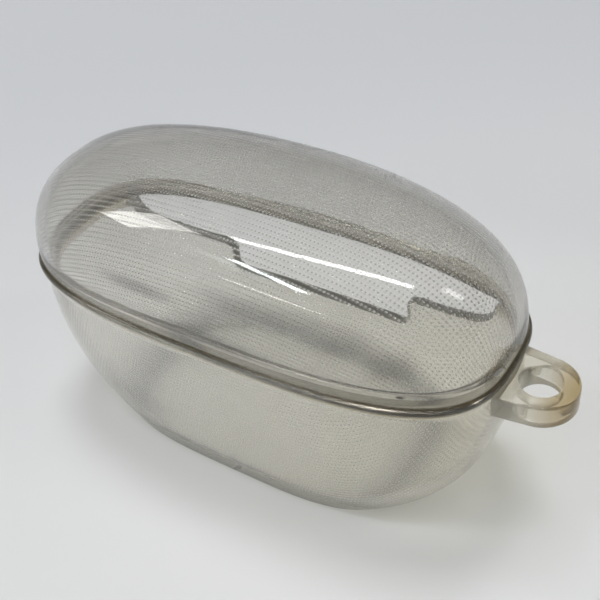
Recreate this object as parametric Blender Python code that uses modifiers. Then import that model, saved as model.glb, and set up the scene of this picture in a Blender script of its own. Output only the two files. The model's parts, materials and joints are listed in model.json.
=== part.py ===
"""Clear soft-plastic cover for a pill-shaped earphone charging case.

Two mouldings: a domed lid shell over a boat-shaped base shell. The base's rear wall is cut away
around the charging case's own hinge and socket, and a carry loop is moulded on its +X end.
Metres, +Z up. The origin is the middle of the flat foot, +X points to the loop, +Y to the rear.
"""

import math

import bmesh
import bpy

# Overall sizes
LENGTH = 0.0700  # across the lid's bead, end to end
DEPTH = 0.0306  # across the lid's bead, front to rear
BASE_HEIGHT = 0.0236  # foot to the top of the base's rim
LID_HEIGHT = 0.0181  # lower edge of the lid to its crown

# Outline, as superellipse exponents: 2 is an ellipse, more is squarer
RIM_EXPONENT = 3.1
CROWN_EXPONENT = 1.8
FOOT_EXPONENT = 3.7
DOME_EXPONENT = 3.0  # the lid seen from the front or the end

# Foot
FOOT_LENGTH = 0.0440
FOOT_DEPTH = 0.0266
FOOT_EDGE_RADIUS = 0.0009
END_FLARE_EXPONENT = 3.0  # how late the ends turn in towards the foot
SIDE_FLARE_EXPONENT = 2.4

# Walls and rims
LID_WALL = 0.0014
BASE_WALL = 0.0014
FLOOR = 0.0015
BEAD_HEIGHT = 0.0010
BEAD_PROUD = 0.0004  # how far the lid's bead stands out of its wall
BEAD_OVERHANG = 0.0006  # how far the bead stands out over the base
RIM_THICKENING = 0.0005  # extra thickness inside both rims
LID_BAND_HEIGHT = 0.0022
BASE_BAND_HEIGHT = 0.0010
BAND_LEDGE = 0.0006  # height over which a thick rim fades into the wall
RIM_ROUNDING = 0.0003
SEAM_GAP = 0.0003

# Hinge line of the charging case inside, on which the lid shell swings
HINGE_INSET = 0.0040  # in from the bead's rear
HINGE_DROP = 0.0030  # below the base's rim
LID_SWING_CLEARANCE = 0.0006

# Rear window: a wide scoop with a deeper notch in its middle
WINDOW_SHIFT = -0.0009  # its middle, off the cover's own
SCOOP_HALF_WIDTH = 0.0293
SCOOP_EXPONENT = 3.0
NOTCH_HALF_WIDTH = 0.0147
NOTCH_STEP = 0.0043  # how far the notch goes below the scoop
NOTCH_CORNER_RADIUS = 0.0013

# Carry loop
LOOP_RADIUS = 0.0044
LOOP_HOLE_RADIUS = 0.0024
LOOP_REACH = 0.0036  # ring's centre beyond the base's end
LOOP_THICKNESS = 0.0032
LOOP_DROP = 0.0003  # its flat top below the base's rim
LOOP_ROOT_HALF_WIDTH = 0.0049
LOOP_EDGE_BEVEL = 0.0002
JOIN_GAP = 0.0003

# Smoothness
SIDES = 88
DOME_STEPS = 12
BEAD_STEPS = 4
FLARE_STEPS = 10
ARC_STEPS = 4

half_length = LENGTH / 2
half_depth = DEPTH / 2
base_half_length = half_length - BEAD_OVERHANG
base_half_depth = half_depth - BEAD_OVERHANG
lid_half_length = half_length - BEAD_PROUD
lid_half_depth = half_depth - BEAD_PROUD
lid_bottom = BASE_HEIGHT + SEAM_GAP
hinge_y = half_depth - HINGE_INSET
hinge_z = BASE_HEIGHT - HINGE_DROP
scoop_depth = HINGE_DROP + HINGE_INSET + LID_SWING_CLEARANCE


def clear_scene():
    for thing in list(bpy.data.objects):
        bpy.data.objects.remove(thing, do_unlink=True)


def new_collection(name):
    made = bpy.data.collections.new(name)
    bpy.context.scene.collection.children.link(made)
    return made


def clear_plastic(name, colour, roughness):
    material = bpy.data.materials.new(name)
    material.use_nodes = True
    shader = material.node_tree.nodes["Principled BSDF"]
    shader.inputs["Base Color"].default_value = (*colour, 1.0)
    shader.inputs["Roughness"].default_value = roughness
    shader.inputs["Metallic"].default_value = 0.0
    shader.inputs["Transmission Weight"].default_value = 0.9
    shader.inputs["IOR"].default_value = 1.5
    return material


def superellipse(a, b, exponent, turn):
    """Point of a superellipse in the direction of an ellipse's angle."""
    cos, sin = math.cos(turn), math.sin(turn)
    size = (abs(cos) ** exponent + abs(sin) ** exponent) ** (-1 / exponent)
    return a * cos * size, b * sin * size


def ring(a, b, exponent, z):
    turns = (2 * math.pi * i / SIDES for i in range(SIDES))
    return [(*superellipse(a, b, exponent, turn), z) for turn in turns]


def loft(name, rings, material, collection, start_pole=None, end_pole=None):
    """A closed body through rings of equal count, each end closed by a pole or a flat face."""
    mesh = bpy.data.meshes.new(name)
    bm = bmesh.new()
    loops = [[bm.verts.new(point) for point in one] for one in rings]
    for lower, upper in zip(loops, loops[1:]):
        for i in range(SIDES):
            j = (i + 1) % SIDES
            bm.faces.new((lower[i], lower[j], upper[j], upper[i]))
    for end, pole in ((loops[0], start_pole), (loops[-1], end_pole)):
        if pole is None:
            bm.faces.new(end)
            continue
        tip = bm.verts.new((0, 0, pole))
        for i in range(SIDES):
            bm.faces.new((end[i], end[(i + 1) % SIDES], tip))
    bmesh.ops.recalc_face_normals(bm, faces=bm.faces)
    bm.to_mesh(mesh)
    bm.free()
    mesh.shade_smooth()
    mesh.set_sharp_from_angle(angle=math.radians(40))
    made = bpy.data.objects.new(name, mesh)
    made.data.materials.append(material)
    collection.objects.link(made)
    return made


def dome_exponent(height_share):
    """The outline rounds off from the rim to the crown."""
    turn = math.asin(min(1.0, height_share ** (DOME_EXPONENT / 2)))
    return RIM_EXPONENT + (CROWN_EXPONENT - RIM_EXPONENT) * turn / (math.pi / 2)


def dome_rings(inset, start):
    """Rings of the dome, shrunk by inset on every side, from height start up to near its crown."""
    height = LID_HEIGHT - inset
    spread = (1 - (start / height) ** DOME_EXPONENT) ** (1 / DOME_EXPONENT)
    first = math.atan2(start / height, spread)
    rings = []
    for i in range(DOME_STEPS):
        turn = first + (math.pi / 2 - first) * i / DOME_STEPS
        share, rise = superellipse(1, 1, DOME_EXPONENT, turn)
        a = (lid_half_length - inset) * share
        b = (lid_half_depth - inset) * share
        rings.append(ring(a, b, dome_exponent(rise), height * rise))
    return rings


def bead_rings():
    """The rounded bead round the lid's lower edge, from its bottom to its top."""
    rings = []
    for i in range(BEAD_STEPS + 1):
        turn = math.pi * (i / BEAD_STEPS - 0.5)
        inset = BEAD_PROUD * (1 - math.cos(turn))
        z = BEAD_HEIGHT * (1 + math.sin(turn)) / 2
        rings.append(ring(half_length - inset, half_depth - inset, RIM_EXPONENT, z))
    return rings


def build_lid(material, collection, hinge):
    """Lid shell, from its inner crown down to the rim and up the outside."""
    inside = dome_rings(LID_WALL, LID_BAND_HEIGHT + BAND_LEDGE)
    band = LID_WALL + RIM_THICKENING
    for z in (LID_BAND_HEIGHT, 0.0):
        inside.insert(0, ring(lid_half_length - band, lid_half_depth - band, RIM_EXPONENT, z))
    outside = bead_rings() + dome_rings(0.0, BEAD_HEIGHT)[1:]
    crown_inside = LID_HEIGHT - LID_WALL
    lid = loft("lid_shell", inside[::-1] + outside, material, collection, crown_inside, LID_HEIGHT)
    lid.parent = hinge
    lid.location = (0, -hinge_y, lid_bottom - hinge_z)
    return lid


def base_outline(z, wall):
    """Half length, half depth and exponent of the base at a height, in from its outside by a wall."""
    drop = 1 - z / BASE_HEIGHT
    sizes = []
    for rim, foot, exponent in (
        (base_half_length, FOOT_LENGTH / 2, END_FLARE_EXPONENT),
        (base_half_depth, FOOT_DEPTH / 2, SIDE_FLARE_EXPONENT),
    ):
        slope = (rim - foot) * exponent * drop ** (exponent - 1) / BASE_HEIGHT
        size = foot + (rim - foot) * (1 - drop**exponent)
        sizes.append(size - wall * math.hypot(1, slope))
    return (*sizes, RIM_EXPONENT + (FOOT_EXPONENT - RIM_EXPONENT) * drop)


def base_ring(z, wall, inset=0.0):
    a, b, exponent = base_outline(z, wall)
    return ring(a - inset, b - inset, exponent, z)


def foot_edge_rings():
    rings = []
    for i in range(ARC_STEPS):
        turn = math.pi / 2 * i / ARC_STEPS
        z = FOOT_EDGE_RADIUS * (1 - math.cos(turn))
        rings.append(base_ring(z, 0.0, FOOT_EDGE_RADIUS * (1 - math.sin(turn))))
    return rings


def build_base(material, collection, window):
    """Base shell, from its foot up the outside, over the rim and down to its floor."""
    side_top = BASE_HEIGHT - RIM_ROUNDING
    rings = foot_edge_rings()
    for i in range(FLARE_STEPS + 1):
        rings.append(base_ring(FOOT_EDGE_RADIUS + (side_top - FOOT_EDGE_RADIUS) * i / FLARE_STEPS, 0.0))
    rings.append(base_ring(BASE_HEIGHT, 0.0, RIM_ROUNDING))
    band_wall = BASE_WALL + RIM_THICKENING
    band_bottom = BASE_HEIGHT - BASE_BAND_HEIGHT
    rings.append(base_ring(BASE_HEIGHT, band_wall, -RIM_ROUNDING / 2))
    rings.append(base_ring(BASE_HEIGHT - RIM_ROUNDING, band_wall))
    rings.append(base_ring(band_bottom, band_wall))
    ledge = band_bottom - BAND_LEDGE
    for i in range(FLARE_STEPS + 1):
        rings.append(base_ring(ledge + (FLOOR - ledge) * i / FLARE_STEPS, BASE_WALL))
    base = loft("base_shell", rings, material, collection)
    cut = base.modifiers.new("rear_window", "BOOLEAN")
    cut.operation = "DIFFERENCE"
    cut.solver = "EXACT"
    cut.object = window
    return base


def arc(centre_x, centre_z, radius, start, end):
    """Points of an arc, its angles in degrees."""
    angles = (math.radians(start + (end - start) * i / ARC_STEPS) for i in range(ARC_STEPS + 1))
    return [(centre_x + radius * math.cos(t), centre_z + radius * math.sin(t)) for t in angles]


def scoop_z(x):
    return BASE_HEIGHT - scoop_depth * (1 - (x / SCOOP_HALF_WIDTH) ** SCOOP_EXPONENT) ** (1 / SCOOP_EXPONENT)


def window_outline():
    """Outline of the rear window in X and Z about its own middle, closed well above the rim."""
    radius = NOTCH_CORNER_RADIUS
    shoulder = NOTCH_HALF_WIDTH + radius
    notch_z = BASE_HEIGHT - scoop_depth - NOTCH_STEP
    right = arc(NOTCH_HALF_WIDTH - radius, notch_z + radius, radius, -90, 0)
    right += arc(shoulder, scoop_z(shoulder) - radius, radius, 180, 90)
    start = math.acos(shoulder / SCOOP_HALF_WIDTH)
    for i in range(1, FLARE_STEPS + 1):
        turn = -start * (1 - i / FLARE_STEPS)
        x, z = superellipse(SCOOP_HALF_WIDTH, scoop_depth, SCOOP_EXPONENT, turn)
        if x > shoulder:
            right.append((x, BASE_HEIGHT + z))
    right.append((SCOOP_HALF_WIDTH, BASE_HEIGHT + LID_HEIGHT / 4))
    return right + [(-x, z) for x, z in reversed(right)]


def outline_solid(name, outlines, thickness, collection):
    """A flat outline, with any holes in it, extruded about its own plane and made a welded mesh."""
    curve = bpy.data.curves.new(name, "CURVE")
    curve.dimensions = "2D"
    curve.fill_mode = "BOTH"
    curve.extrude = thickness / 2
    for points in outlines:
        spline = curve.splines.new("POLY")
        spline.points.add(len(points) - 1)
        for point, (x, y) in zip(spline.points, points):
            point.co = (x, y, 0, 1)
        spline.use_cyclic_u = True
    guide = bpy.data.objects.new(name + "_outline", curve)
    collection.objects.link(guide)
    graph = bpy.context.evaluated_depsgraph_get()
    mesh = bpy.data.meshes.new_from_object(guide.evaluated_get(graph))
    mesh.name = name
    bpy.data.objects.remove(guide, do_unlink=True)
    bm = bmesh.new()
    bm.from_mesh(mesh)
    bmesh.ops.remove_doubles(bm, verts=bm.verts, dist=1e-6)
    bmesh.ops.recalc_face_normals(bm, faces=bm.faces)
    bm.to_mesh(mesh)
    bm.free()
    made = bpy.data.objects.new(name, mesh)
    collection.objects.link(made)
    return made


def build_window_cutter(collection):
    """Cuts through the rear wall only, from well inside the base to past its rear."""
    window = outline_solid("rear_window_cutter", [window_outline()], half_depth, collection)
    window.rotation_euler = (math.pi / 2, 0, 0)
    window.location = (WINDOW_SHIFT, half_depth * 0.75, 0)
    window.hide_render = True
    window.display_type = "WIRE"
    return window


def loop_outline():
    """The ring and the straight-sided root that flares out to the base's end."""
    a, b = base_half_length + JOIN_GAP, base_half_depth + JOIN_GAP
    centre = base_half_length + LOOP_REACH
    root = []
    for i in range(2 * ARC_STEPS + 1):
        y = LOOP_ROOT_HALF_WIDTH * (1 - i / ARC_STEPS)
        root.append((a * (1 - (abs(y) / b) ** RIM_EXPONENT) ** (1 / RIM_EXPONENT), y))
    corner_x, corner_y = root[-1]
    reach = math.hypot(centre - corner_x, corner_y)
    slant = math.atan2(-corner_y, centre - corner_x)
    tangent = -(math.pi - slant - math.acos(LOOP_RADIUS / reach))
    steps = SIDES // 2
    turns = (tangent * (1 - 2 * i / steps) for i in range(steps + 1))
    return root + [(centre + LOOP_RADIUS * math.cos(t), LOOP_RADIUS * math.sin(t)) for t in turns]


def build_loop(material, collection):
    centre = base_half_length + LOOP_REACH
    steps = SIDES // 3
    turns = (2 * math.pi * i / steps for i in range(steps))
    hole = [
        (centre + LOOP_HOLE_RADIUS * math.cos(t), LOOP_HOLE_RADIUS * math.sin(t)) for t in turns
    ]
    loop = outline_solid("carry_loop", [loop_outline(), hole], LOOP_THICKNESS, collection)
    loop.location = (0, 0, BASE_HEIGHT - LOOP_DROP - LOOP_THICKNESS / 2)
    edges = loop.modifiers.new("edges", "BEVEL")
    edges.width = LOOP_EDGE_BEVEL
    edges.segments = 1
    edges.angle_limit = math.radians(60)
    loop.data.materials.append(material)
    return loop


def build_hinge(collection):
    hinge = bpy.data.objects.new("lid_hinge", None)
    hinge.empty_display_size = HINGE_INSET
    hinge.location = (0, hinge_y, hinge_z)
    collection.objects.link(hinge)
    return hinge


def main():
    clear_scene()
    cover = new_collection("earphone_case_cover")
    cutters = new_collection("cutters")
    cutters.hide_render = True
    smoky = clear_plastic("smoky_clear_lid", (0.78, 0.76, 0.70), 0.08)
    milky = clear_plastic("milky_clear_base", (0.80, 0.79, 0.76), 0.16)
    yellowed = clear_plastic("yellowed_clear_loop", (0.80, 0.75, 0.60), 0.12)
    build_lid(smoky, cover, build_hinge(cover))
    build_base(milky, cover, build_window_cutter(cutters))
    build_loop(yellowed, cover)


main()
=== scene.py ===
import json
import math

import bmesh
import bpy
import numpy as np
from mathutils import Matrix, Vector


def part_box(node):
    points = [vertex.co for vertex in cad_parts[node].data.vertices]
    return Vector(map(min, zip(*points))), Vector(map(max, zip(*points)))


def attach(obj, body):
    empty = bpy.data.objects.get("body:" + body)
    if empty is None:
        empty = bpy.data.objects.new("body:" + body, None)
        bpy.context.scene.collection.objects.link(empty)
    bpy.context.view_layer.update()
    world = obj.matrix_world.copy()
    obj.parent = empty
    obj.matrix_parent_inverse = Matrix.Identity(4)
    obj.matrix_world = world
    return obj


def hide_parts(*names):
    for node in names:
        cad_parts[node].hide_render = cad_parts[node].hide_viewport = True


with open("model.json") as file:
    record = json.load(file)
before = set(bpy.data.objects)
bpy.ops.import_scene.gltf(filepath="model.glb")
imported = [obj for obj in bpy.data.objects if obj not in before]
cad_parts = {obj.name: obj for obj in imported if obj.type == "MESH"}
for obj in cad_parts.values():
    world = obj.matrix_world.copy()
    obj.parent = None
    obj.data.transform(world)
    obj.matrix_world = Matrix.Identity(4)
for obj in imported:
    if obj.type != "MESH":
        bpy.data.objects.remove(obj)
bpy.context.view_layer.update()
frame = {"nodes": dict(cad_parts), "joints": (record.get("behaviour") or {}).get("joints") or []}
print("frame loaded:", ", ".join(sorted(frame["nodes"])))

lidLow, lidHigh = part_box("lid_shell")
baseLow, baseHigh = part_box("base_shell")
loopLow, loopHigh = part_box("carry_loop")
hinge = next(joint for joint in frame["joints"] if joint["name"] == "lid_hinge")

# sizes are millimetres, turned to metres where they are used
mm = 0.001

# what both shells share
shell = {
    "sides": 256,            # corners in each ring
    "wall": 1.4,
    "rimWall": 1.9,          # both rims are thicker inside
    "rimSquareness": 3.1,    # outline exponent: 2 is an ellipse, more is squarer
    "crownSquareness": 1.8,
    "footSquareness": 3.7,
    "dome": 3.0,             # exponent of the dome's section
    "roundingSteps": 4,
    "ledgeSteps": 4,
    "sharpAngle": 42,
}

# moulded dots inside the walls
dots = {
    "along": 0.50, "rows": 0.62, "length": 0.27, "width": 0.18,
    "shift": 0.5,            # each row starts half a dot later than the one before
    "edge": (1.25, 0.55),    # soft edge, from outside to inside, in squared half sizes
    "patchScale": 70, "patchDetail": 2, "patchFrom": (0.3, 0.62),
    "faintest": 0.6,         # depth left where the mould prints worst
}

# zones of a shell's surface; the finish reads each as a mask
outsideZone, insideZone, rimZone, cutZone = range(4)
zoneMasks = ("smoothWall", "dottedWall", "rimWall", "cutEdge")
zoneMark = [bpy.data.materials.new(name) for name in zoneMasks]


# rings and shells: a ring is (half length, half depth, squareness, height, zone)

def between(first, last, count):
    return [first + (last - first) * step / count for step in range(count + 1)]


def superellipse(halfLength, halfDepth, squareness, turn):
    cos, sin = math.cos(turn), math.sin(turn)
    size = (abs(cos) ** squareness + abs(sin) ** squareness) ** (-1 / squareness)
    return halfLength * cos * size, halfDepth * sin * size


def ledgeShares():
    # share of the way up a ledge, and how far its soft step has come by then
    return [(share, 0.5 - 0.5 * math.cos(math.pi * share))
            for share in between(0, 1, shell["ledgeSteps"])[1:-1]]


def deselectAll():
    if bpy.context.mode != "OBJECT":
        bpy.ops.object.mode_set(mode="OBJECT")
    bpy.ops.object.select_all(action="DESELECT")


def placeRing(piece, ring, number):
    # the selected ring of corners goes onto its outline
    mesh = bmesh.from_edit_mesh(piece.data)
    turnOf = mesh.verts.layers.float["turn"]
    numberOf = mesh.verts.layers.int["ringNumber"]
    halfLength, halfDepth, squareness, height = ring[:4]
    for corner in mesh.verts:
        if corner.select:
            x, y = superellipse(halfLength, halfDepth, squareness, corner[turnOf])
            corner.co = (x, y, height)
            corner[numberOf] = number
    bmesh.update_edit_mesh(piece.data)


def growShell(name, rings):
    # a closed shell, grown ring by ring from a filled circle and closed at its other pole
    deselectAll()
    bpy.ops.mesh.primitive_circle_add(
        vertices=shell["sides"], radius=rings[0][0], fill_type="TRIFAN",
        location=(0, 0, rings[0][3]))
    piece = bpy.context.object
    piece.name = name
    bpy.ops.object.transform_apply(location=True, rotation=True, scale=True)
    bpy.ops.object.mode_set(mode="EDIT")
    mesh = bmesh.from_edit_mesh(piece.data)
    turnOf = mesh.verts.layers.float.new("turn")
    mesh.verts.layers.int.new("ringNumber")
    for corner in mesh.verts:
        corner[turnOf] = math.atan2(corner.co.y, corner.co.x)
    bmesh.update_edit_mesh(piece.data)
    bpy.ops.mesh.select_mode(type="EDGE")
    bpy.ops.mesh.select_all(action="DESELECT")
    bpy.ops.mesh.select_non_manifold()
    placeRing(piece, rings[0], 0)
    for number, ring in enumerate(rings[1:], 1):
        bpy.ops.mesh.extrude_edges_move()
        placeRing(piece, ring, number)
    bpy.ops.mesh.extrude_edges_move()
    bpy.ops.mesh.merge(type="CENTER")
    bpy.ops.mesh.select_all(action="SELECT")
    bpy.ops.mesh.normals_make_consistent(inside=False)
    bpy.ops.object.mode_set(mode="OBJECT")
    return piece


def layRows(piece, rings, walls):
    # a map of millimetres over each wall, for the rows of dots
    sizes = np.array([ring[:4] for ring in rings])
    count = len(piece.data.vertices)
    where = np.empty(count * 3)
    piece.data.vertices.foreach_get("co", where)
    where = where.reshape(-1, 3)
    number = np.empty(count, int)
    piece.data.attributes["ringNumber"].data.foreach_get("value", number)
    placed = np.zeros((count, 2))
    for first, last in walls:
        chosen = np.nonzero((number >= first) & (number <= last))[0]
        part, row = sizes[first:last + 1], number[chosen] - first
        if part[0, 0] > part[-1, 0]:  # counted from the pole outwards
            part, row = part[::-1], last - number[chosen]
        halfLengths, halfDepths, squareness, heights = part.T
        x, y = np.abs(where[chosen, 0]), where[chosen, 1]

        # along the wall: the way from the middle by the crown line
        steps = np.hypot(np.diff(halfLengths), np.diff(heights))
        crown = halfLengths[0] + np.concatenate([[0], np.cumsum(steps)])
        along = np.interp(x, np.concatenate([[0], halfLengths]), np.concatenate([[0], crown]))

        # across the wall: the way from the middle by the cross-section at this corner
        ratio = np.clip(x[:, None] / halfLengths, 0, 1)
        across = halfDepths * (1 - ratio ** squareness) ** (1 / squareness)
        reached = x[:, None] < halfLengths
        widening = np.maximum(np.diff(halfLengths), 1e-9)  # it divides, so it is never 0
        share = np.clip((halfLengths[1:] - x[:, None]) / widening, 0, 1)
        rise = np.diff(heights) * np.where(reached[:, :-1], 1, share)
        steps = np.hypot(np.diff(across, axis=1), rise) * reached[:, 1:]
        length = across[:, :1] + np.cumsum(steps, axis=1)
        length = np.concatenate([across[:, :1], length], axis=1)
        sideways = length[np.arange(len(chosen)), row]

        placed[chosen, 0] = np.sign(where[chosen, 0]) * along / mm
        placed[chosen, 1] = np.sign(y) * sideways / mm
    corners = np.empty(len(piece.data.loops), int)
    piece.data.loops.foreach_get("vertex_index", corners)
    uv = piece.data.uv_layers.new(name="rows")
    uv.data.foreach_set("uv", placed[corners].ravel().astype(np.float32))


def markZones(piece, rings):
    # each face takes the zone of the ring that it grew to
    number = piece.data.attributes["ringNumber"].data
    for mark in zoneMark:
        piece.data.materials.append(mark)
    for face in piece.data.polygons:
        highest = max(number[corner].value for corner in face.vertices)
        face.material_index = rings[min(highest, len(rings) - 1)][4]


def paintPiece(piece, finish):
    # one finish all over, as light's way through the wall needs, with the zones as masks
    zones = np.empty(len(piece.data.polygons), int)
    piece.data.polygons.foreach_get("material_index", zones)
    for zone, name in enumerate(zoneMasks):
        mask = piece.data.attributes.new(name, "FLOAT", "FACE")
        mask.data.foreach_set("value", (zones == zone).astype(np.float32))
    piece.data.polygons.foreach_set("material_index", np.zeros(len(zones), int))
    piece.data.materials.clear()
    piece.data.materials.append(finish)


def smoothPiece(piece):
    deselectAll()
    bpy.context.view_layer.objects.active = piece
    piece.select_set(True)
    bpy.ops.object.shade_smooth_by_angle(angle=math.radians(shell["sharpAngle"]))


# finishes

def addNode(tree, kind, **settings):
    node = tree.nodes.new(kind)
    for name, value in settings.items():
        setattr(node, name, value)
    return node


def addMath(tree, operation, first, second=None, third=None):
    node = addNode(tree, "ShaderNodeMath", operation=operation)
    for socket, value in zip(node.inputs, (first, second, third)):
        if value is None:
            continue
        if isinstance(value, (int, float)):
            socket.default_value = value
        else:
            tree.links.new(value, socket)
    return node.outputs[0]


def addRange(tree, value, low, high, outLow=0.0, outHigh=1.0):
    node = addNode(tree, "ShaderNodeMapRange", interpolation_type="SMOOTHSTEP")
    tree.links.new(value, node.inputs["Value"])
    for name, number in (("From Min", low), ("From Max", high),
                         ("To Min", outLow), ("To Max", outHigh)):
        node.inputs[name].default_value = number
    return node.outputs["Result"]


def addMix(tree, factor, first, second):
    # mixes two colours; each is a socket or red, green and blue
    node = addNode(tree, "ShaderNodeMix", data_type="RGBA")
    tree.links.new(factor, node.inputs[0])
    for socket, colour in ((node.inputs[6], first), (node.inputs[7], second)):
        if isinstance(colour, bpy.types.NodeSocket):
            tree.links.new(colour, socket)
        else:
            socket.default_value = (*colour, 1)
    return node.outputs[2]


def addNoise(tree, place, scale, detail, distortion=0.0):
    noise = addNode(tree, "ShaderNodeTexNoise")
    tree.links.new(place.outputs["Object"], noise.inputs["Vector"])
    noise.inputs["Scale"].default_value = scale
    noise.inputs["Detail"].default_value = detail
    noise.inputs["Distortion"].default_value = distortion
    return noise.outputs["Fac"]


def addPatch(tree, place, centre, halves):
    # 1 within a fifth of the half sizes, fading to 0 at them
    away = addNode(tree, "ShaderNodeVectorMath", operation="SUBTRACT")
    tree.links.new(place.outputs["Object"], away.inputs[0])
    away.inputs[1].default_value = [value * mm for value in centre]
    scaled = addNode(tree, "ShaderNodeVectorMath", operation="DIVIDE")
    tree.links.new(away.outputs[0], scaled.inputs[0])
    scaled.inputs[1].default_value = [value * mm for value in halves]
    length = addNode(tree, "ShaderNodeVectorMath", operation="LENGTH")
    tree.links.new(scaled.outputs[0], length.inputs[0])
    return addRange(tree, length.outputs["Value"], 1.0, 0.2)


def newGroup(name, inputs, outputs):
    group = bpy.data.node_groups.new(name, "ShaderNodeTree")
    for label, value in inputs.items():
        socket = group.interface.new_socket(name=label, in_out="INPUT", socket_type="NodeSocketFloat")
        socket.default_value = value
    for label in outputs:
        group.interface.new_socket(name=label, in_out="OUTPUT", socket_type="NodeSocketFloat")
    return group, group.nodes.new("NodeGroupInput"), group.nodes.new("NodeGroupOutput")


def makeDotGroup():
    # small moulded dashes in staggered rows
    sizes = {label: dots[label.lower()] for label in ("Along", "Rows", "Shift", "Length", "Width")}
    group, given, out = newGroup("moulded dots", sizes, ["Dots"])
    rows = addNode(group, "ShaderNodeUVMap", uv_map="rows")
    split = addNode(group, "ShaderNodeSeparateXYZ")
    group.links.new(rows.outputs[0], split.inputs[0])
    rowPlace = addMath(group, "DIVIDE", split.outputs[1], given.outputs["Rows"])
    stagger = addMath(group, "MULTIPLY", addMath(group, "FLOOR", rowPlace), given.outputs["Shift"])
    alongPlace = addMath(group, "DIVIDE", split.outputs[0], given.outputs["Along"])
    alongPlace = addMath(group, "ADD", alongPlace, stagger)
    squares = []
    for spot, pitch, size in ((alongPlace, "Along", "Length"), (rowPlace, "Rows", "Width")):
        # how far from the dot's middle, in half sizes of the dot
        far = addMath(group, "SUBTRACT", addMath(group, "FRACT", spot), 0.5)
        far = addMath(group, "MULTIPLY", far, given.outputs[pitch])
        half = addMath(group, "MULTIPLY", given.outputs[size], 0.5)
        share = addMath(group, "DIVIDE", far, half)
        squares.append(addMath(group, "MULTIPLY", share, share))
    mask = addRange(group, addMath(group, "ADD", *squares), *dots["edge"])
    # the dots are uneven in depth over broad patches
    place = addNode(group, "ShaderNodeTexCoord")
    patches = addNoise(group, place, dots["patchScale"], dots["patchDetail"])
    depth = addRange(group, patches, *dots["patchFrom"], dots["faintest"], 1.0)
    group.links.new(addMath(group, "MULTIPLY", mask, depth), out.inputs["Dots"])
    return group


# wear of handled soft plastic, with scales per metre
wear = {
    "smearScale": 95, "smearDetail": 5, "smearDistortion": 0.8, "smearFrom": (0.5, 0.75),
    "dustScale": 420, "dustEdge": (0.11, 0.05),
    "dustyScale": 210, "dustyDetail": 2, "dustyFrom": (0.58, 0.66),
    "waveScale": 42, "waveDetail": 1,
}


def makeWearGroup():
    # smears, fine dust and faint waviness
    group, given, out = newGroup("handled plastic", {"Smears": 1.0, "Dust": 1.0},
                                 ["Roughness", "Dust", "Height"])
    place = addNode(group, "ShaderNodeTexCoord")
    smears = addNoise(group, place, wear["smearScale"], wear["smearDetail"], wear["smearDistortion"])
    smears = addRange(group, smears, *wear["smearFrom"])
    group.links.new(addMath(group, "MULTIPLY", smears, given.outputs["Smears"]), out.inputs["Roughness"])
    speck = addNode(group, "ShaderNodeTexVoronoi")
    speck.inputs["Scale"].default_value = wear["dustScale"]
    group.links.new(place.outputs["Object"], speck.inputs["Vector"])
    dusty = addNoise(group, place, wear["dustyScale"], wear["dustyDetail"])
    specks = addMath(group, "MULTIPLY", addRange(group, speck.outputs["Distance"], *wear["dustEdge"]),
                     addRange(group, dusty, *wear["dustyFrom"]))
    group.links.new(addMath(group, "MULTIPLY", specks, given.outputs["Dust"]), out.inputs["Dust"])
    waves = addNoise(group, place, wear["waveScale"], wear["waveDetail"])
    group.links.new(waves, out.inputs["Height"])
    return group


dotGroup = makeDotGroup()
wearGroup = makeWearGroup()


def plasticColour(tree, look, masks, dust):
    place = addNode(tree, "ShaderNodeTexCoord")
    split = addNode(tree, "ShaderNodeSeparateXYZ")
    tree.links.new(place.outputs["Object"], split.inputs[0])
    colour = look["colour"]
    for (start, end), tint in look["ageing"]:  # yellowing deepens along X, towards the loop
        colour = addMix(tree, addRange(tree, split.outputs[0], start * mm, end * mm), colour, tint)
    # painted shade: the rim, cut-edge and foot zones take darker colours that stand for the shade there
    for zone, tint in look["zoneShadeColours"].items():
        colour = addMix(tree, masks[zone], colour, tint)
    colour = addMix(tree, dust, colour, look["dustColour"])
    # darker patches on the outer wall
    for centre, halves, tint in look["darkPatches"]:
        darkPatch = addMath(tree, "MULTIPLY", addPatch(tree, place, centre, halves), masks["smoothWall"])
        colour = addMix(tree, darkPatch, colour, tint)
    # painted shade: the dots are darkened to stand for the light their relief scatters away
    shade = addMath(tree, "MULTIPLY", masks["dots"], look["dotShade"])
    return addMix(tree, shade, colour, look["dotShadeColour"])


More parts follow.
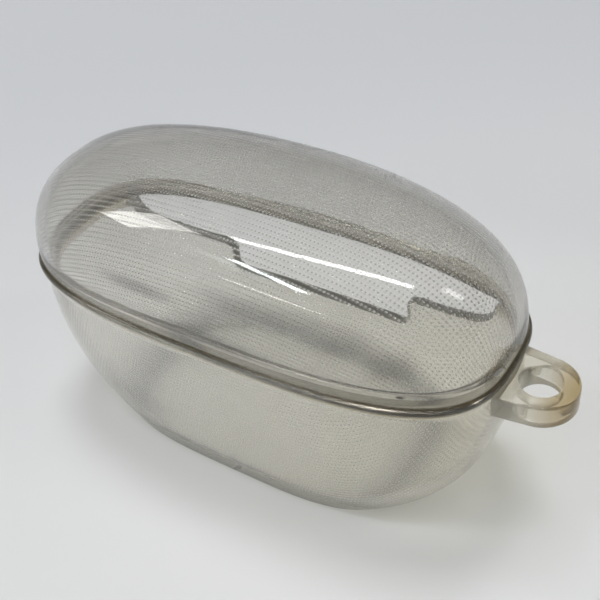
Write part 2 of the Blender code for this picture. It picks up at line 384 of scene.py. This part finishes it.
def clearPlastic(name, look):
    finish = bpy.data.materials.new(name)
    finish.use_nodes = True
    tree = finish.node_tree
    shader = tree.nodes["Principled BSDF"]
    out = tree.nodes["Material Output"]
    # the foot mask carries the painted shadow at the foot
    masks = {zone: addNode(tree, "ShaderNodeAttribute", attribute_name=zone).outputs["Fac"]
             for zone in (*zoneMasks, "foot")}
    moulded = addNode(tree, "ShaderNodeGroup", node_tree=dotGroup).outputs["Dots"]
    worn = addNode(tree, "ShaderNodeGroup", node_tree=wearGroup)
    worn.inputs["Smears"].default_value = look["smears"]
    worn.inputs["Dust"].default_value = look["dust"]
    masks["dots"] = addMath(tree, "MULTIPLY", moulded, masks["dottedWall"])
    # the dots sink the outside a little where they thicken the wall
    sinks = addMath(tree, "MULTIPLY", moulded, masks["smoothWall"])

    colour = plasticColour(tree, look, masks, worn.outputs["Dust"])
    tree.links.new(colour, shader.inputs["Base Color"])
    roughness = addMath(tree, "ADD", look["roughness"], worn.outputs["Roughness"])
    for zone, added in look["addedRoughness"].items():
        roughness = addMath(tree, "MULTIPLY_ADD", masks[zone], added, roughness)
    tree.links.new(addMath(tree, "MINIMUM", roughness, 1.0), shader.inputs["Roughness"])
    shader.inputs["Metallic"].default_value = 0.0
    shader.inputs["IOR"].default_value = look["refraction"]
    shader.inputs["Transmission Weight"].default_value = look["clearness"]

    height = addMath(tree, "MULTIPLY", worn.outputs["Height"], look["waveDepth"])
    height = addMath(tree, "MULTIPLY_ADD", masks["dots"], look["dotHeight"], height)
    height = addMath(tree, "MULTIPLY_ADD", sinks, look["sinkHeight"], height)
    bump = addNode(tree, "ShaderNodeBump")
    bump.inputs["Strength"].default_value = 1.0
    bump.inputs["Distance"].default_value = mm
    tree.links.new(height, bump.inputs["Height"])
    tree.links.new(bump.outputs["Normal"], shader.inputs["Normal"])

    # colour deepens with light's way through the wall
    depth = addNode(tree, "ShaderNodeVolumeAbsorption")
    depth.inputs["Density"].default_value = look["absorption"]
    depth.inputs["Color"].default_value = (*look["depthColour"], 1)
    tree.links.new(depth.outputs[0], out.inputs["Volume"])

    # lamps shine straight through, so that what is inside and below is lit
    rays = addNode(tree, "ShaderNodeLightPath")
    through = addNode(tree, "ShaderNodeBsdfTransparent")
    through.inputs["Color"].default_value = (*look["shadow"], 1)
    either = addNode(tree, "ShaderNodeMixShader")
    tree.links.new(rays.outputs["Is Shadow Ray"], either.inputs[0])
    tree.links.new(shader.outputs[0], either.inputs[1])
    tree.links.new(through.outputs[0], either.inputs[2])
    tree.links.new(either.outputs[0], out.inputs["Surface"])
    return finish


# ageing: from and to along X, and the colour there; dark patches: centre, half sizes and colour
smoky = {
    "colour": (0.93, 0.925, 0.908), "ageing": (((-60, 60), (0.93, 0.92, 0.898)),),
    # painted shade: the rim band is darkened brown and any cut face nearly black
    "zoneShadeColours": {"rimWall": (0.27, 0.245, 0.195), "cutEdge": (0.07, 0.068, 0.056)},
    "depthColour": (0.60, 0.57, 0.475), "absorption": 100, "shadow": (0.78, 0.775, 0.755),
    "clearness": 0.96, "refraction": 1.5, "roughness": 0.02,
    "addedRoughness": {"dottedWall": 0.015, "rimWall": 0.12, "cutEdge": 0.3, "dots": 0.35},
    "smears": 0.05, "dust": 0.6, "dustColour": (0.75, 0.74, 0.7), "waveDepth": 0.05,
    # painted shade on the dots: its share and its colour
    "dotShade": 0.6, "dotShadeColour": (0.24, 0.24, 0.24), "dotHeight": 0.014, "sinkHeight": -0.018,
    "darkPatches": (((12.0, -13.5, 33.6), (16, 4, 2.3), (0.44, 0.435, 0.43)),
                ((20.0, -12.8, 32.4), (7, 4, 2.6), (0.44, 0.435, 0.43)),
                ((25.5, -12.0, 30.5), (4.5, 4, 3.2), (0.44, 0.435, 0.43)),
                ((2.0, -14.8, 27.5), (13, 4, 1.6), (0.44, 0.435, 0.43)),
                ((-8.0, -14.4, 31.5), (9, 4, 1.5), (0.44, 0.435, 0.43)),
                ((26.6, -12.2, 26.6), (0.75, 4, 0.35), (0.004, 0.004, 0.004))),  # dark speck
}
milky = {
    "colour": (0.965, 0.955, 0.93),
    "ageing": (((-20, 42), (0.955, 0.935, 0.87)), ((36.5, 42.4), (0.60, 0.48, 0.27))),
    # painted shade: the rim band, the window's cut faces and the foot's turn-under are darkened
    "zoneShadeColours": {"rimWall": (0.52, 0.46, 0.34), "cutEdge": (0.07, 0.068, 0.056),
                    "foot": (0.08, 0.08, 0.075)},
    "depthColour": (0.69, 0.66, 0.56), "absorption": 100, "shadow": (0.83, 0.825, 0.80),
    "clearness": 0.84, "refraction": 1.5, "roughness": 0.07,
    "addedRoughness": {"dottedWall": 0.12, "rimWall": 0.10, "cutEdge": 0.3, "dots": 0.3},
    "smears": 0.06, "dust": 0.6, "dustColour": (0.75, 0.74, 0.7), "waveDepth": 0.05,
    # painted shade on the dots: its share and its colour
    "dotShade": 0.3, "dotShadeColour": (0.5, 0.49, 0.46), "dotHeight": 0.012, "sinkHeight": -0.003,
    "darkPatches": (((-14.0, -13.0, 9.0), (9, 4, 4), (0.8, 0.795, 0.78)),),
}

# lid

lid = {
    "wallInset": 0.4,        # the wall stands this far inside the bead
    "beadHeight": 1.0,
    "beadSteps": 12,
    "grooveDepth": 0.14,     # fine groove above the bead
    "grooveHeight": 0.26,
    "grooveRings": ((0.8, 0.35), (0.55, 0.95), (0.3, 1.0), (0.08, 0.7)),  # shares of height, depth
    "lowerRounding": 0.25,
    "bandHeight": 2.2,       # thick band inside the rim
    "darkBand": 0.6,         # share of the band's height that has the rim's painted shade
    "ledge": 0.6,
    "domeSteps": 58,
    "innerDomeSteps": 54,
}


def makeLid():
    bottom = lidLow.z
    height = lidHigh.z - bottom
    halfLength, halfDepth = lidHigh.x, -lidLow.y
    wallInset, beadHeight = lid["wallInset"] * mm, lid["beadHeight"] * mm
    squareness = shell["rimSquareness"]
    rounder = shell["crownSquareness"] - squareness

    def ringAt(inset, rise, zone):
        return halfLength - inset, halfDepth - inset, squareness, bottom + rise, zone

    def domeRings(inset, start, steps, zone):
        # from a height above the lid's lower edge up to half a step off the crown
        tall = height - inset
        reach = (1 - (start / tall) ** shell["dome"]) ** (1 / shell["dome"])
        first = math.atan2(start / tall, reach)
        made = []
        for step in range(steps):
            turn = first + (math.pi / 2 - first) * step / (steps + 0.5)
            share, rise = superellipse(1, 1, shell["dome"], turn)
            climbed = math.asin(min(1, rise ** (shell["dome"] / 2))) / (math.pi / 2)
            made.append(((halfLength - wallInset - inset) * share,
                         (halfDepth - wallInset - inset) * share,
                         squareness + rounder * climbed, bottom + tall * rise, zone))
        return made

    grooveHeight, grooveDepth = lid["grooveHeight"] * mm, lid["grooveDepth"] * mm
    rings = domeRings(0, beadHeight + grooveHeight, lid["domeSteps"], outsideZone)[::-1]
    lastOutside = len(rings) - 1
    for rise, depth in lid["grooveRings"]:
        rings.append(ringAt(wallInset + grooveDepth * depth, beadHeight + grooveHeight * rise, rimZone))
    for turn in between(math.pi / 2, -math.pi / 2, lid["beadSteps"]):
        inset = wallInset * (1 - math.cos(turn))
        rings.append(ringAt(inset, beadHeight * (1 + math.sin(turn)) / 2, rimZone))
    band = (lid["wallInset"] + shell["rimWall"]) * mm
    bandHeight, ledge = lid["bandHeight"] * mm, lid["ledge"] * mm
    rounding = lid["lowerRounding"] * mm
    for turn in between(0, math.pi / 2, shell["roundingSteps"]):
        inset = band - rounding * (1 - math.sin(turn))
        rings.append(ringAt(inset, rounding * (1 - math.cos(turn)), rimZone))
    # the lower part of the inner band takes the rim's painted shade
    rings.append(ringAt(band, bandHeight * lid["darkBand"], rimZone))
    rings.append(ringAt(band, bandHeight, insideZone))
    inner = domeRings(shell["wall"] * mm, bandHeight + ledge, lid["innerDomeSteps"], insideZone)
    wallLength, wallDepth = inner[0][:2]
    for share, soft in ledgeShares():
        rings.append(((halfLength - band) * (1 - soft) + wallLength * soft,
                      (halfDepth - band) * (1 - soft) + wallDepth * soft,
                      squareness, bottom + bandHeight + ledge * share, insideZone))
    firstInside = len(rings)
    rings += inner
    piece = growShell("clear_lid", rings)
    layRows(piece, rings, [(0, lastOutside), (firstInside, len(rings) - 1)])
    markZones(piece, rings)
    return piece


lidPiece = makeLid()
paintPiece(lidPiece, clearPlastic("smoky clear lid", smoky))
smoothPiece(lidPiece)
print("lid:", len(lidPiece.data.polygons), "faces")

# base, with its rear window and the carry loop moulded on

base = {
    "footHalfLength": 22.0,
    "footHalfDepth": 13.3,
    "footEdge": 0.9,
    "footRings": (0.3, 0.6, 0.8, 0.93, 1),  # shares of the foot's flat underside
    "endFlare": 3.0,
    "sideFlare": 2.4,
    "flareSteps": 46,
    "rimRounding": 0.3,
    "bandHeight": 1.0,       # thick band inside the rim
    "ledge": 0.6,
    "innerSteps": 40,
    "floor": 1.5,
    "floorFillet": 1.3,
    "floorRings": (0.95, 0.88, 0.78, 0.65, 0.5, 0.35, 0.18),
    "cornerSteps": 8,        # round the foot's edge and the floor's fillet
    "footShadeTop": 4.5,
    "footShadeFrom": 0.8,    # share of the way out to the foot's outline
}

window = {
    "shift": -0.9,
    "scoopHalfWidth": 29.3,
    "scoopSquareness": 3.0,
    "scoopBelowHinge": 4.6,
    "scoopSteps": 40,
    "notchHalfWidth": 14.7,
    "notchStep": 4.3,
    "cornerRadius": 1.3,
    "arcSteps": 8,
    "aboveRim": 4.0,
    "cutFrom": 0.25,         # the cut starts behind this share of the half depth
    "edgeRounding": 0.3,
    "edgeSteps": 3,
    "mergeUnder": 0.12,      # closer corners on the cut's edges become one
    "weldUnder": 0.004,
    "orderFrom": (97, -61, 43),  # corners are put in order of distance from here
}

loop = {
    "holeRadius": 2.4,
    "holeSides": 64,
    "ringRadius": 4.4,
    "ringSteps": 56,
    "rootHalfWidth": 4.9,
    "rootSink": 0.8,
    "rootSteps": 12,
    "edgeRounding": 0.35,
    "edgeSteps": 4,
    "edgeAngle": 60,
}


def makeBaseShell():
    height = baseHigh.z
    halfLength, halfDepth = -baseLow.x, -baseLow.y
    footLength, footDepth = base["footHalfLength"] * mm, base["footHalfDepth"] * mm
    rimSquareness, footSquareness = shell["rimSquareness"], shell["footSquareness"]

    def ringAt(z, wall, zone, inset=0.0):
        # the flared outline at this height, in by the wall square to the surface and by the inset
        drop = 1 - z / height
        sizes = []
        for rim, foot, flare in ((halfLength, footLength, base["endFlare"]),
                                 (halfDepth, footDepth, base["sideFlare"])):
            slope = (rim - foot) * flare * drop ** (flare - 1) / height
            sizes.append(foot + (rim - foot) * (1 - drop ** flare)
                         - wall * math.hypot(1, slope) - inset)
        return (*sizes, rimSquareness + (footSquareness - rimSquareness) * drop, z, zone)

    edge, rounding = base["footEdge"] * mm, base["rimRounding"] * mm
    wall, rimWall = shell["wall"] * mm, shell["rimWall"] * mm
    soleLength, soleDepth = ringAt(0, 0, outsideZone, edge)[:2]
    rings = [(soleLength * share, soleDepth * share, footSquareness, 0, outsideZone)
             for share in base["footRings"]]
    for turn in between(0, math.pi / 2, base["cornerSteps"])[1:-1]:
        rings.append(ringAt(edge * (1 - math.cos(turn)), 0, outsideZone, edge * (1 - math.sin(turn))))
    for z in between(edge, height - rounding, base["flareSteps"]):
        rings.append(ringAt(z, 0, outsideZone))
    lastOutside = len(rings) - 1

    outLength, outDepth = ringAt(height - rounding, 0, rimZone)[:2]
    inLength, inDepth = ringAt(height - rounding, rimWall, rimZone)[:2]
    quarter = between(0, math.pi / 2, shell["roundingSteps"])
    for turn in quarter[1:]:
        inset = rounding * (1 - math.cos(turn))
        rings.append((outLength - inset, outDepth - inset, rimSquareness,
                      height - rounding * (1 - math.sin(turn)), rimZone))
    for turn in quarter:
        outset = rounding * (1 - math.sin(turn))
        rings.append((inLength + outset, inDepth + outset, rimSquareness,
                      height - rounding * (1 - math.cos(turn)), rimZone))
    bandBottom, ledge = height - base["bandHeight"] * mm, base["ledge"] * mm
    rings.append(ringAt(bandBottom, rimWall, rimZone))
    for share, soft in ledgeShares():
        rings.append(ringAt(bandBottom - ledge * share, rimWall + (wall - rimWall) * soft, rimZone))

    firstInside = len(rings)
    fillet, floor = base["floorFillet"] * mm, base["floor"] * mm
    for z in between(bandBottom - ledge, floor + fillet, base["innerSteps"]):
        rings.append(ringAt(z, wall, insideZone))
    for turn in between(0, math.pi / 2, base["cornerSteps"])[1:]:
        z = floor + fillet * (1 - math.sin(turn))
        rings.append(ringAt(z, wall, insideZone, fillet * (1 - math.cos(turn))))
    floorLength, floorDepth, floorSquareness = rings[-1][:3]
    for share in base["floorRings"]:
        rings.append((floorLength * share, floorDepth * share, floorSquareness, floor, insideZone))
    piece = growShell("clear_base", rings)
    layRows(piece, rings, [(0, lastOutside), (firstInside, len(rings) - 1)])
    markZones(piece, rings)
    return piece


def paintFootShadow(piece):
    # painted shadow: a mask that darkens the walls where they turn under at the foot, for the contact
    # shadow there
    where = np.empty(len(piece.data.vertices) * 3)
    piece.data.vertices.foreach_get("co", where)
    x, y, z = np.abs(where.reshape(-1, 3).T) / mm
    squareness = shell["footSquareness"]
    reach = ((x / base["footHalfLength"]) ** squareness
             + (y / base["footHalfDepth"]) ** squareness) ** (1 / squareness)
    outwards = np.clip((reach - base["footShadeFrom"]) / (1 - base["footShadeFrom"]), 0, 1)
    low = np.clip(1 - z / base["footShadeTop"], 0, 1)
    foot = piece.data.attributes.new("foot", "FLOAT", "POINT")
    foot.data.foreach_set("value", (low * outwards).astype(np.float32))


def outlinePlate(name, points, start, depth, upright):
    # a flat outline pulled out to a plate: along Y when upright, else along Z
    deselectAll()
    bpy.ops.mesh.primitive_circle_add(
        vertices=len(points), radius=10 * mm, fill_type="NGON", location=(0, 0, 0))
    piece = bpy.context.object
    piece.name = name
    bpy.ops.object.mode_set(mode="EDIT")
    mesh = bmesh.from_edit_mesh(piece.data)
    mesh.verts.ensure_lookup_table()
    for corner, (first, second) in zip(mesh.verts, points):
        corner.co = (first, start, second) if upright else (first, second, start)
    bmesh.update_edit_mesh(piece.data)
    bpy.ops.mesh.select_all(action="SELECT")
    pull = (0, depth, 0) if upright else (0, 0, depth)
    bpy.ops.mesh.extrude_region_move(TRANSFORM_OT_translate={"value": pull})
    bpy.ops.mesh.select_all(action="SELECT")
    bpy.ops.mesh.normals_make_consistent(inside=False)
    bpy.ops.object.mode_set(mode="OBJECT")
    return piece


def arc(centreX, centreZ, radius, start, end):
    turns = [math.radians(turn) for turn in between(start, end, window["arcSteps"])]
    return [(centreX + radius * math.cos(turn), centreZ + radius * math.sin(turn)) for turn in turns]


def windowOutline():
    # half an outline from the notch's middle outwards, then its mirror image
    top = baseHigh.z
    depth = top - hinge["pos_m"][2] + window["scoopBelowHinge"] * mm
    half = window["scoopHalfWidth"] * mm
    squareness = window["scoopSquareness"]
    notch, radius = window["notchHalfWidth"] * mm, window["cornerRadius"] * mm
    shoulder = notch + radius
    shoulderZ = top - depth * (1 - (shoulder / half) ** squareness) ** (1 / squareness)
    bottom = top - depth - window["notchStep"] * mm
    right = [(0.0, bottom)]
    right += arc(notch - radius, bottom + radius, radius, -90, 0)
    right += arc(shoulder, shoulderZ - radius, radius, 180, 90)
    for turn in between(math.acos(shoulder / half), 0, window["scoopSteps"])[1:]:
        x, z = superellipse(half, depth, squareness, -turn)
        if x > shoulder:
            right.append((x, top + z))
    right.append((half, top + window["aboveRim"] * mm))
    left = [(-x, z) for x, z in reversed(right[1:])]
    shift = window["shift"] * mm
    return [(x + shift, z) for x, z in right + left]


def cutOrJoin(piece, other, operation):
    deselectAll()
    bpy.context.view_layer.objects.active = piece
    change = piece.modifiers.new("shape", "BOOLEAN")
    change.operation = operation
    change.solver = "EXACT"
    change.object = other
    bpy.ops.object.modifier_apply(modifier=change.name)
    bpy.data.objects.remove(other, do_unlink=True)


def roundCutEdges(piece):
    # the window's cut faces meet both walls in a small round
    deselectAll()
    bpy.context.view_layer.objects.active = piece
    bpy.ops.object.mode_set(mode="EDIT")
    bpy.ops.mesh.select_mode(type="EDGE")
    # corners in a fixed order, so that each run merges the same ones
    bpy.context.scene.cursor.location = [value * mm for value in window["orderFrom"]]
    bpy.ops.mesh.select_all(action="SELECT")
    bpy.ops.mesh.sort_elements(type="CURSOR_DISTANCE", elements={"VERT", "EDGE", "FACE"})
    bpy.context.scene.cursor.location = (0, 0, 0)
    bpy.ops.mesh.select_all(action="DESELECT")
    mesh = bmesh.from_edit_mesh(piece.data)
    for edge in mesh.edges:
        zones = {face.material_index for face in edge.link_faces}
        edge.select_set(cutZone in zones and len(zones) > 1)
    bmesh.update_edit_mesh(piece.data)
    bpy.ops.mesh.remove_doubles(threshold=window["mergeUnder"] * mm)
    bpy.ops.mesh.bevel(offset=window["edgeRounding"] * mm, segments=window["edgeSteps"],
                       affect="EDGES", clamp_overlap=False, material=cutZone)
    bpy.ops.mesh.select_all(action="SELECT")
    bpy.ops.mesh.remove_doubles(threshold=window["weldUnder"] * mm)
    bpy.ops.object.mode_set(mode="OBJECT")


def makeLoop():
    # a tapering plate from inside the end wall to a ring, then its hole and rounded edges
    halfLength, halfDepth = -baseLow.x, -baseLow.y
    ring, rootHalf = loop["ringRadius"] * mm, loop["rootHalfWidth"] * mm
    centre = loopHigh.x - ring
    sink, squareness = loop["rootSink"] * mm, shell["rimSquareness"]
    points = []
    for y in between(rootHalf, -rootHalf, loop["rootSteps"]):
        share = (1 - (abs(y) / halfDepth) ** squareness) ** (1 / squareness)
        points.append(((halfLength - sink) * share, y))
    cornerX, cornerY = points[-1][0] + sink, points[-1][1]
    # the sides run from the corners to touch the ring
    reach = math.hypot(centre - cornerX, cornerY)
    slant = math.atan2(-cornerY, centre - cornerX)
    touch = slant + math.acos(ring / reach) - math.pi
    points.append((cornerX, cornerY))
    points += [(centre + ring * math.cos(turn), ring * math.sin(turn))
               for turn in between(touch, -touch, loop["ringSteps"])]
    points.append((cornerX, -cornerY))
    thickness = loopHigh.z - loopLow.z
    plate = outlinePlate("loop", points, loopLow.z, thickness, upright=False)
    deselectAll()
    bpy.ops.mesh.primitive_cylinder_add(
        vertices=loop["holeSides"], radius=loop["holeRadius"] * mm, depth=thickness * 3,
        location=(centre, 0, (loopLow.z + loopHigh.z) / 2))
    cutOrJoin(plate, bpy.context.object, "DIFFERENCE")
    deselectAll()
    bpy.context.view_layer.objects.active = plate
    edges = plate.modifiers.new("edges", "BEVEL")
    edges.width = loop["edgeRounding"] * mm
    edges.segments = loop["edgeSteps"]
    edges.limit_method = "ANGLE"
    edges.angle_limit = math.radians(loop["edgeAngle"])
    bpy.ops.object.modifier_apply(modifier=edges.name)
    return plate


basePiece = makeBaseShell()
print("base shell:", len(basePiece.data.polygons), "faces")
cutter = outlinePlate("window", windowOutline(), -baseLow.y * window["cutFrom"], -baseLow.y, upright=True)
for mark in zoneMark:
    cutter.data.materials.append(mark)
for face in cutter.data.polygons:
    face.material_index = cutZone
cutOrJoin(basePiece, cutter, "DIFFERENCE")
roundCutEdges(basePiece)
print("rear window cut")
loopPlate = makeLoop()
loopPlate.data.materials.append(zoneMark[outsideZone])
cutOrJoin(basePiece, loopPlate, "UNION")
paintFootShadow(basePiece)
paintPiece(basePiece, clearPlastic("milky clear base", milky))
smoothPiece(basePiece)
print("carry loop joined:", len(basePiece.data.polygons), "faces")

for piece, body, nodes, slotName in (
        (lidPiece, "lid", ["lid_shell"], "smoky_clear_lid"),
        (basePiece, "base", ["base_shell", "carry_loop"], "milky_clear_base")):
    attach(piece, body)
    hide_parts(*nodes)

# floor, light and camera

studio = {
    "floorNear": (0.735, 0.74, 0.745),  # painted light: a little paler towards the front, darker and bluer far off
    "floorFar": (0.60, 0.615, 0.645),
    "floorLightFade": (-70, 130),
    "floorSize": 4.0,
    "floorRoughness": 0.55,
    "wallColour": (0.45, 0.455, 0.46),  # pale walls low down, a dim ceiling above
    "ceilingColour": (0.085, 0.085, 0.085),
    "wallFade": (0.12, 0.42),
}

lamps = {
    # name: (place, turn about Z, length, width, watts, colour, aimed at the object, seen in gloss)
    "tubeOverhead": ((-0.2, -0.58, 2.0), 17, 2.1, 0.16, 13.5, (1, 1, 1), False, True),
    "panelAbove": ((-0.12, 0.24, 1.22), 0, 0.35, 0.35, 6.8, (1, 0.99, 0.97), True, False),
    "panelLeft": ((-0.86, -0.52, 0.70), 0, 0.26, 0.44, 2.4, (1, 0.99, 0.97), True, True),
    "tubeRight": ((2.0, 0.7, 2.0), 25, 1.2, 0.25, 6, (1, 1, 1), False, True),
    "tubeFront": ((-1.35, -3.2, 2.0), -48, 1.4, 0.40, 48, (0.88, 0.97, 1), False, True),
    "tubeFar": ((-4.6, -11.5, 2.0), 24, 7.0, 0.30, 200, (0.95, 0.98, 1), False, True),
}

camera = {
    "target": (4.379, 1.317, 21.768),
    "yaw": 37.7,
    "elevation": 40.25,
    "roll": -7.86,
    "distance": 125.05,
    "lens": 57.15,
    "sensor": 36,
    "nearest": 1.0,
}


def makeFloor():
    deselectAll()
    bpy.ops.mesh.primitive_plane_add(size=studio["floorSize"], location=(0, 0, 0))
    floor = bpy.context.object
    floor.name = "floor"
    finish = bpy.data.materials.new("pale floor")
    finish.use_nodes = True
    tree = finish.node_tree
    shader = tree.nodes["Principled BSDF"]
    place = addNode(tree, "ShaderNodeTexCoord")
    away = addNode(tree, "ShaderNodeVectorMath", operation="DOT_PRODUCT")
    yaw = math.radians(camera["yaw"])
    away.inputs[1].default_value = (-math.sin(yaw), math.cos(yaw), 0)
    tree.links.new(place.outputs["Object"], away.inputs[0])
    # painted light: the floor's colour fades from the near colour to the far one
    lightFade = addRange(tree, away.outputs["Value"], *(value * mm for value in studio["floorLightFade"]))
    colour = addMix(tree, lightFade, studio["floorNear"], studio["floorFar"])
    tree.links.new(colour, shader.inputs["Base Color"])
    shader.inputs["Roughness"].default_value = studio["floorRoughness"]
    floor.data.materials.append(finish)


def makeLamp(name, place, turn, length, width, watts, colour, aimed, glossy):
    turned = (0, 0, math.radians(turn))
    if aimed:
        turned = Vector(place).to_track_quat("Z", "Y").to_euler()
    bpy.ops.object.light_add(type="AREA", location=place, rotation=turned)
    lamp = bpy.context.object
    lamp.name = name
    lamp.data.shape = "RECTANGLE"
    lamp.data.size = length
    lamp.data.size_y = width
    lamp.data.energy = watts
    lamp.data.color = colour
    lamp.visible_glossy = lamp.visible_transmission = glossy


def makeWorld():
    world = bpy.data.worlds.new("room")
    world.use_nodes = True
    tree = world.node_tree
    place = addNode(tree, "ShaderNodeTexCoord")
    split = addNode(tree, "ShaderNodeSeparateXYZ")
    tree.links.new(place.outputs["Generated"], split.inputs[0])
    rise = addRange(tree, split.outputs[2], *studio["wallFade"])
    colour = addMix(tree, rise, studio["wallColour"], studio["ceilingColour"])
    tree.links.new(colour, tree.nodes["Background"].inputs["Color"])
    bpy.context.scene.world = world
    bpy.context.scene.view_settings.view_transform = "Standard"


def makeCamera():
    yaw, elevation = math.radians(camera["yaw"]), math.radians(camera["elevation"])
    back = Vector((math.cos(elevation) * math.sin(yaw), -math.cos(elevation) * math.cos(yaw),
                   math.sin(elevation)))
    place = Vector(camera["target"]) * mm + back * camera["distance"] * mm
    roll = Matrix.Rotation(math.radians(camera["roll"]), 3, "Z")
    turned = back.to_track_quat("Z", "Y").to_matrix() @ roll
    bpy.ops.object.camera_add(location=place, rotation=turned.to_euler())
    made = bpy.context.object
    made.data.sensor_width = camera["sensor"]
    made.data.lens = camera["lens"]
    made.data.clip_start = camera["nearest"] * mm
    bpy.context.scene.camera = made


makeFloor()
for name, lamp in lamps.items():
    makeLamp(name, *lamp)
makeWorld()
makeCamera()
print("floor,", len(lamps), "lamps and camera placed")

bpy.context.view_layer.update()
print("scene ready")
